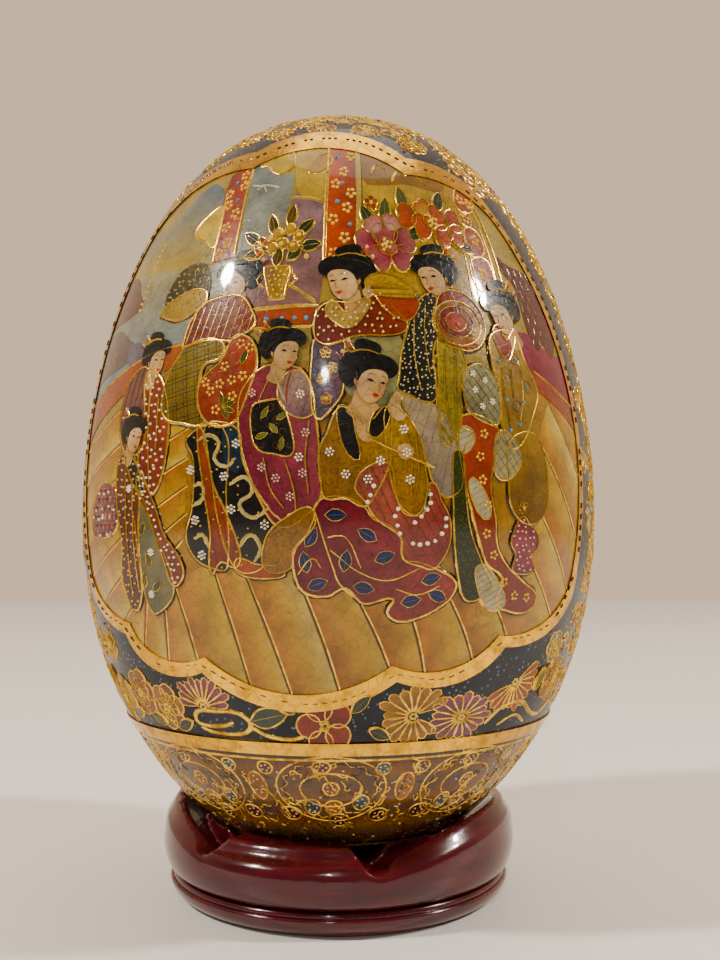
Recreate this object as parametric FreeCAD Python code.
"""Gilt and enamelled porcelain egg standing in a turned and carved wooden ring stand.

Millimetres. Origin on the table under the egg's axis, +Z up, the painted front faces -Y.

The egg is a hollow slip-cast shell with a vent hole at its lower pole. Three thin raised gold
borders lie on its glaze: a belt round its lower part and one scalloped frame round each of the
two painted panels, front and back. The stand is a lacquered ring glued on a beaded foot. The
ring's rim has two low stepped blocks, two high arched cheeks and a V notch between each pair,
and its conical seat carries the egg, which lifts straight out.
"""

import FreeCAD
import Part
import math
import os

V = FreeCAD.Vector

# ---- driving dimensions ----
EGG_RADIUS = 52.0  # widest half-width
EGG_HEIGHT = 152.3
EGG_BOTTOM = 5.15  # height of the lower pole above the table
EGG_SHAPE = (-0.0617, 0.0275, 0.0988)  # how far the outline leaves an ellipse
SHELL_WALL = 3.6
VENT_RADIUS = 1.8
OUTLINE_SPANS = 22  # spline spans from pole to pole

GILT_THICKNESS = 0.3
BELT_LOW, BELT_HIGH = 33.8, 36.1
FRAME_CENTRE = (-7.0, 92.0)  # what the frame's width is measured towards
FRAME_WIDTH = 3.0
FRAME_SIDE_WIDTH = 2.2
FRAME_TOP_WIDTH = 4.6
# Scallops of the frame's outer edge, anticlockwise from below: cusp, crown, width of the band there.
# Places are (distance round the egg's widest girth from the front, height).
FRAME_SCALLOPS = [
    ((-26.5, 48.0), (-7.0, 41.8), FRAME_WIDTH),
    ((10.5, 47.0), (20.5, 45.9), FRAME_WIDTH),
    ((32.5, 52.0), (45.5, 54.2), FRAME_WIDTH),
    ((53.5, 65.0), (55.5, 98.0), FRAME_SIDE_WIDTH),
    ((43.0, 131.5), (34.0, 138.8), FRAME_TOP_WIDTH),
    ((19.5, 140.5), (-2.5, 146.6), FRAME_TOP_WIDTH),
    ((-26.5, 142.8), (-46.0, 140.9), FRAME_TOP_WIDTH),
    ((-60.0, 129.0), (-65.5, 98.0), FRAME_SIDE_WIDTH),
    ((-62.0, 65.0), (-56.0, 57.0), FRAME_WIDTH),
    ((-46.0, 53.6), (-36.0, 47.1), FRAME_WIDTH),
]

FOOT_HEIGHT = 4.7
FOOT_REST_RADIUS = 30.4
FOOT_BEAD_RADIUS = 34.3
WELL_RADIUS = 23.3  # hole right through the stand
RING_RADIUS = 35.5
RING_WIDEST_Z = 9.4
SEAT_CONTACT_RADIUS = 25.4
SEAT_HALF_LENGTH = 2.2
SEAT_CLEARANCE = 0.1
CHEEK_TOP = 19.2
CHEEK_DROP = 6.8  # how much lower a cheek's rim is at its ends than in its middle
CHEEK_RIM_RADIUS = 32.3
CREST_TOP = 16.3  # the outer crest of a cheek, below and outside its rim
CREST_DROP = 4.9
CREST_RADIUS = 35.0
CHEEK_SECTIONS = 12
BLOCK_TOP = 15.6
BLOCK_AZIMUTH = -17.6  # middle of the front block, degrees from the front towards +X
BLOCK_HALF_ANGLE = 29.4  # to the middle of the notch at each end
NOTCH_FLOORS = (12.5, 11.5)  # at a block's clockwise end, seen from above, and at its other end
END_RISE = (0.78, 1.0)  # share of the drops that a cheek has towards each kind of notch
NOTCH_FLOOR_WIDTH = 2.4
NOTCH_SIDE_ANGLE = 40.0  # from vertical


# ---- the egg's outline ----
def outline_factor(t):
    """Radius over the largest radius before scaling, for t from -1 (lower pole) to 1 (top)."""
    a, b, c = EGG_SHAPE
    return math.sqrt(max(0.0, 1 - t * t)) * (1 + a * t + b * t**2 + c * t**3)


WIDEST_FACTOR = max(outline_factor(i / 500) for i in range(-500, 501))


def egg_point(t):
    """(radius, height) on the outside of the shell."""
    return (
        EGG_RADIUS * outline_factor(t) / WIDEST_FACTOR,
        EGG_BOTTOM + EGG_HEIGHT * (t + 1) / 2,
    )


def egg_normal(t, step=1e-5):
    """Outward unit normal of the outline at t."""
    (r0, z0), (r1, z1) = egg_point(t - step), egg_point(t + step)
    length = math.hypot(r1 - r0, z1 - z0)
    return (z1 - z0) / length, -(r1 - r0) / length


def egg_radius_at(height):
    return egg_point(2 * (height - EGG_BOTTOM) / EGG_HEIGHT - 1)[0]


def outline_parameters(first_angle):
    """t of each spline point, evenly spaced in polar angle from first_angle up to the top."""
    steps = [first_angle + (math.pi - first_angle) * i / OUTLINE_SPANS for i in range(OUTLINE_SPANS + 1)]
    return [-math.cos(a) for a in steps]


def offset_outline(offset, lowest_radius):
    """Spline from lowest_radius near the lower pole up to the top pole, offset outwards."""
    low_t = -1.0
    while egg_point(low_t)[0] < lowest_radius:
        low_t += 1e-5
    points = []
    for t in outline_parameters(math.acos(-low_t))[:-1]:
        r, z = egg_point(t)
        nr, nz = egg_normal(t)
        points.append(V(r + offset * nr, 0, z + offset * nz))
    points[0].x = lowest_radius
    points.append(V(0, 0, EGG_BOTTOM + EGG_HEIGHT + offset))
    curve = Part.BSplineCurve()
    curve.interpolate(points)
    return curve.toShape()


def line(a, b):
    return Part.makeLine(V(a[0], 0, a[1]), V(b[0], 0, b[1]))


def turned(edges, angle=360.0):
    """Solid turned about Z from closed edges in the XZ plane."""
    face = Part.Face(Part.Wire(Part.__sortEdges__(edges)))
    solid = face.revolve(V(0, 0, 0), V(0, 0, 1), angle)
    return solid if solid.Volume > 0 else solid.reversed()


def ends(edge):
    return [(v.Point.x, v.Point.z) for v in edge.Vertexes]


def filled_egg(offset):
    """Solid egg, grown by offset, with a narrow open bore left along its axis at the vent."""
    outline = offset_outline(offset, VENT_RADIUS)
    bottom, top = sorted(ends(outline), key=lambda p: p[1])
    return turned([outline, line(top, (0, bottom[1])), line((0, bottom[1]), bottom)])


def egg_shell():
    outer = offset_outline(0.0, VENT_RADIUS)
    inner = offset_outline(-SHELL_WALL, VENT_RADIUS)
    outer_bottom, outer_top = sorted(ends(outer), key=lambda p: p[1])
    inner_bottom, inner_top = sorted(ends(inner), key=lambda p: p[1])
    return turned([outer, line(outer_top, inner_top), inner, line(inner_bottom, outer_bottom)])


# ---- raised gold borders ----
def gilt_layer():
    """The whole layer that the borders are cut from."""
    return filled_egg(GILT_THICKNESS).cut(filled_egg(0.0))


def gilt_belt(layer):
    slab = Part.makeCylinder(EGG_RADIUS + 5, BELT_HIGH - BELT_LOW, V(0, 0, BELT_LOW))
    return layer.common(slab)


def on_front(place, inset=0.0):
    """Front-view point of a place on the girth, moved by inset towards the panel's middle."""
    u, z = place
    du, dz = FRAME_CENTRE[0] - u, FRAME_CENTRE[1] - z
    length = math.hypot(du, dz)
    u, z = u + inset * du / length, z + inset * dz / length
    return V(egg_radius_at(z) * math.sin(u / EGG_RADIUS), 0, z)


def scalloped_face(inset_share):
    """Plane face inside the scalloped outline, inset by a share of the band's width."""
    edges = []
    count = len(FRAME_SCALLOPS)
    for i, (cusp, crown, width) in enumerate(FRAME_SCALLOPS):
        next_cusp, _, next_width = FRAME_SCALLOPS[(i + 1) % count]
        start = on_front(cusp, inset_share * min(width, FRAME_SCALLOPS[i - 1][2]))
        middle = on_front(crown, inset_share * width)
        end = on_front(next_cusp, inset_share * min(width, next_width))
        edges.append(Part.Arc(start, middle, end).toShape())
    return Part.Face(Part.Wire(edges))


def gilt_frame(layer):
    band = scalloped_face(0.0).cut(scalloped_face(1.0))
    return layer.common(band.extrude(V(0, -EGG_RADIUS - 5, 0)))


# ---- the stand ----
def arc(a, mid, b):
    return Part.Arc(V(a[0], 0, a[1]), V(mid[0], 0, mid[1]), V(b[0], 0, b[1])).toShape()


def stand_foot():
    """Beaded foot: a round bead on the table side and a narrow fillet under the ring."""
    well_low, well_high = (WELL_RADIUS, 0.0), (WELL_RADIUS, FOOT_HEIGHT)
    rest = (FOOT_REST_RADIUS, 0.0)
    bead_wide = (FOOT_BEAD_RADIUS - 0.06, 3.2)
    bead_top = (FOOT_BEAD_RADIUS - 0.7, 3.75)
    fillet_high = (FOOT_BEAD_RADIUS - 1.3, FOOT_HEIGHT)
    return turned(
        [
            line(well_low, rest),
            arc(rest, (FOOT_BEAD_RADIUS - 0.9, 1.41), bead_wide),
            arc(bead_wide, (FOOT_BEAD_RADIUS - 0.25, 3.6), bead_top),
            arc(bead_top, (FOOT_BEAD_RADIUS - 0.75, 4.3), fillet_high),
            line(fillet_high, well_high),
            line(well_high, well_low),
        ]
    )


def seat_line():
    """Lower and upper end of the conical seat, tangent to the egg at the contact radius."""
    t = -1.0
    while egg_point(t)[0] < SEAT_CONTACT_RADIUS:
        t += 1e-4
    r, z = egg_point(t)
    nr, nz = egg_normal(t)
    r, z = r + SEAT_CLEARANCE * nr, z + SEAT_CLEARANCE * nz
    along_r, along_z = -nz * SEAT_HALF_LENGTH, nr * SEAT_HALF_LENGTH
    return (r - along_r, z - along_z), (r + along_r, z + along_z)


def bulge(top):
    """Outer wall edges shared by cheeks and blocks, from the ring's underside up to top."""
    low = (FOOT_BEAD_RADIUS - 1.6, FOOT_HEIGHT)
    turn = (RING_RADIUS - 1.3, 5.5)
    return low, [
        line(low, turn),
        arc(turn, (RING_RADIUS, RING_WIDEST_Z), top),
    ]


def ring_with(outer_top_edges, shoulder, inner_top):
    """Ring solid whose rim above the shoulder is given by its outer edges."""
    seat_low, seat_high = seat_line()
    low, wall = bulge(shoulder)
    under = (WELL_RADIUS, FOOT_HEIGHT)
    well_top = (WELL_RADIUS, seat_low[1] - (seat_low[0] - WELL_RADIUS))
    edges = wall + outer_top_edges
    edges += [line(inner_top, seat_high), line(seat_high, seat_low)]
    edges += [line(seat_low, well_top), line(well_top, under), line(under, low)]
    return turned(edges)


def cheek_ring():
    """Tall rim all round, before its top is carved."""
    shoulder = (RING_RADIUS - 0.1, 12.6)
    rim_out = (RING_RADIUS - 1.6, CHEEK_TOP + 1)
    rim_in = (CHEEK_RIM_RADIUS - 0.9, CHEEK_TOP + 1)
    outer = [
        arc(shoulder, (RING_RADIUS - 0.4, 15.2), rim_out),
        line(rim_out, rim_in),
    ]
    return ring_with(outer, shoulder, rim_in)


def above_cheek(azimuth, share):
    """Cross-section of what is carved off above a cheek, share running from -1 to 1 along it."""
    fall = END_RISE[0] if share > 0 else END_RISE[1]
    rim = CHEEK_TOP - CHEEK_DROP * fall * abs(share) ** 2.2
    crest = CREST_TOP - CREST_DROP * fall * share**2
    top, reach = CHEEK_TOP + 10, RING_RADIUS + 6
    corners = [
        (CHEEK_RIM_RADIUS - 6, rim - 6),
        (CHEEK_RIM_RADIUS - 0.9, rim - 0.5),
        (CHEEK_RIM_RADIUS, rim),
        (CHEEK_RIM_RADIUS + 0.9, rim - 0.45),
        (CREST_RADIUS - 0.5, crest + 0.25),
        (CREST_RADIUS + 0.4, crest - 0.6),
        (reach, crest - 6),
        (reach, top),
        (CHEEK_RIM_RADIUS - 6, top),
    ]
    out = direction(azimuth)
    return Part.makePolygon([out * r + V(0, 0, z) for r, z in corners + corners[:1]])


def carved_off(azimuth):
    """Everything above the cheek whose middle is at azimuth."""
    half = 90 - BLOCK_HALF_ANGLE
    shares = [-1.1 + 2.2 * i / CHEEK_SECTIONS for i in range(CHEEK_SECTIONS + 1)]
    sections = [above_cheek(azimuth + half * s, s) for s in shares]
    return Part.makeLoft(sections, True, False)


def block_ring():
    """Low rim: a bead, a groove and a flat top stepped inwards."""
    shoulder = (RING_RADIUS - 0.35, 12.2)
    bead_out = (RING_RADIUS - 0.9, 12.4)
    bead_in = (RING_RADIUS - 1.7, 13.2)
    groove = (RING_RADIUS - 2.6, 13.6)
    step = (RING_RADIUS - 3.1, 14.8)
    rim_out = (RING_RADIUS - 3.5, BLOCK_TOP)
    rim_in = (RING_RADIUS - 5.6, BLOCK_TOP)
    outer = [
        line(shoulder, bead_out),
        arc(bead_out, (RING_RADIUS - 1.2, 13.2), bead_in),
        arc(bead_in, (RING_RADIUS - 2.3, 13.1), groove),
        line(groove, step),
        line(step, rim_out),
        line(rim_out, rim_in),
    ]
    return ring_with(outer, shoulder, rim_in)


def direction(azimuth):
    """Unit vector from the axis, azimuth in degrees from the front (-Y) towards +X."""
    a = math.radians(azimuth)
    return V(math.sin(a), -math.cos(a), 0)


def sector(azimuth, half_angle, low, high):
    """Upright wedge from the axis outwards."""
    reach = 2 * RING_RADIUS
    corners = [V(0, 0, low)]
    corners += [direction(azimuth + side * half_angle) * reach + V(0, 0, low) for side in (-1, 0, 1)]
    face = Part.Face(Part.makePolygon(corners + corners[:1]))
    return face.extrude(V(0, 0, high - low))


def notch(azimuth, floor):
    """Radial trapezoid groove cut down through the rim."""
    out = direction(azimuth)
    across = V(out.y, -out.x, 0)
    top = CHEEK_TOP + 2
    half_floor = NOTCH_FLOOR_WIDTH / 2
    half_top = half_floor + (top - floor) * math.tan(math.radians(NOTCH_SIDE_ANGLE))
    shape = [(-half_floor, floor), (half_floor, floor), (half_top, top), (-half_top, top)]
    start = out * (WELL_RADIUS - 5)
    corners = [start + across * s + V(0, 0, z) for s, z in shape]
    face = Part.Face(Part.makePolygon(corners + corners[:1]))
    return face.extrude(out * RING_RADIUS)


def stand_ring():
    split = min(NOTCH_FLOORS) - 1.0
    blocks = [BLOCK_AZIMUTH, BLOCK_AZIMUTH + 180]
    over_blocks = [sector(a, BLOCK_HALF_ANGLE, split, CHEEK_TOP + 5) for a in blocks]
    ring = cheek_ring()
    for wedge in over_blocks:
        ring = ring.cut(wedge)
    for a in blocks:
        ring = ring.cut(carved_off(a + 90))
    low_ring = block_ring()
    for wedge in over_blocks:
        ring = ring.fuse(low_ring.common(wedge))
    for a in blocks:
        for side, floor in zip((-1, 1), NOTCH_FLOORS):
            ring = ring.cut(notch(a + side * BLOCK_HALF_ANGLE, floor))
    return ring.removeSplitter()


# ---- write every node ----
def solids_of(shape):
    """The shape's solids alone, as one solid or a compound."""
    solids = shape.Solids
    return solids[0] if len(solids) == 1 else Part.makeCompound(solids)


def main():
    os.makedirs("parts", exist_ok=True)
    layer = gilt_layer()
    front_frame = gilt_frame(layer)
    back_frame = front_frame.copy()
    back_frame.rotate(V(0, 0, 0), V(0, 0, 1), 180)
    nodes = {
        "egg_shell": egg_shell(),
        "gilt_belt": gilt_belt(layer),
        "gilt_frame_front": front_frame,
        "gilt_frame_back": back_frame,
        "stand_ring": stand_ring(),
        "stand_foot": stand_foot(),
    }
    for name, shape in nodes.items():
        part = solids_of(shape)
        print(name, "solids", len(shape.Solids), "valid", part.isValid(), "volume %.1f mm3" % part.Volume)
        part.exportStep(f"parts/{name}.step")


main()
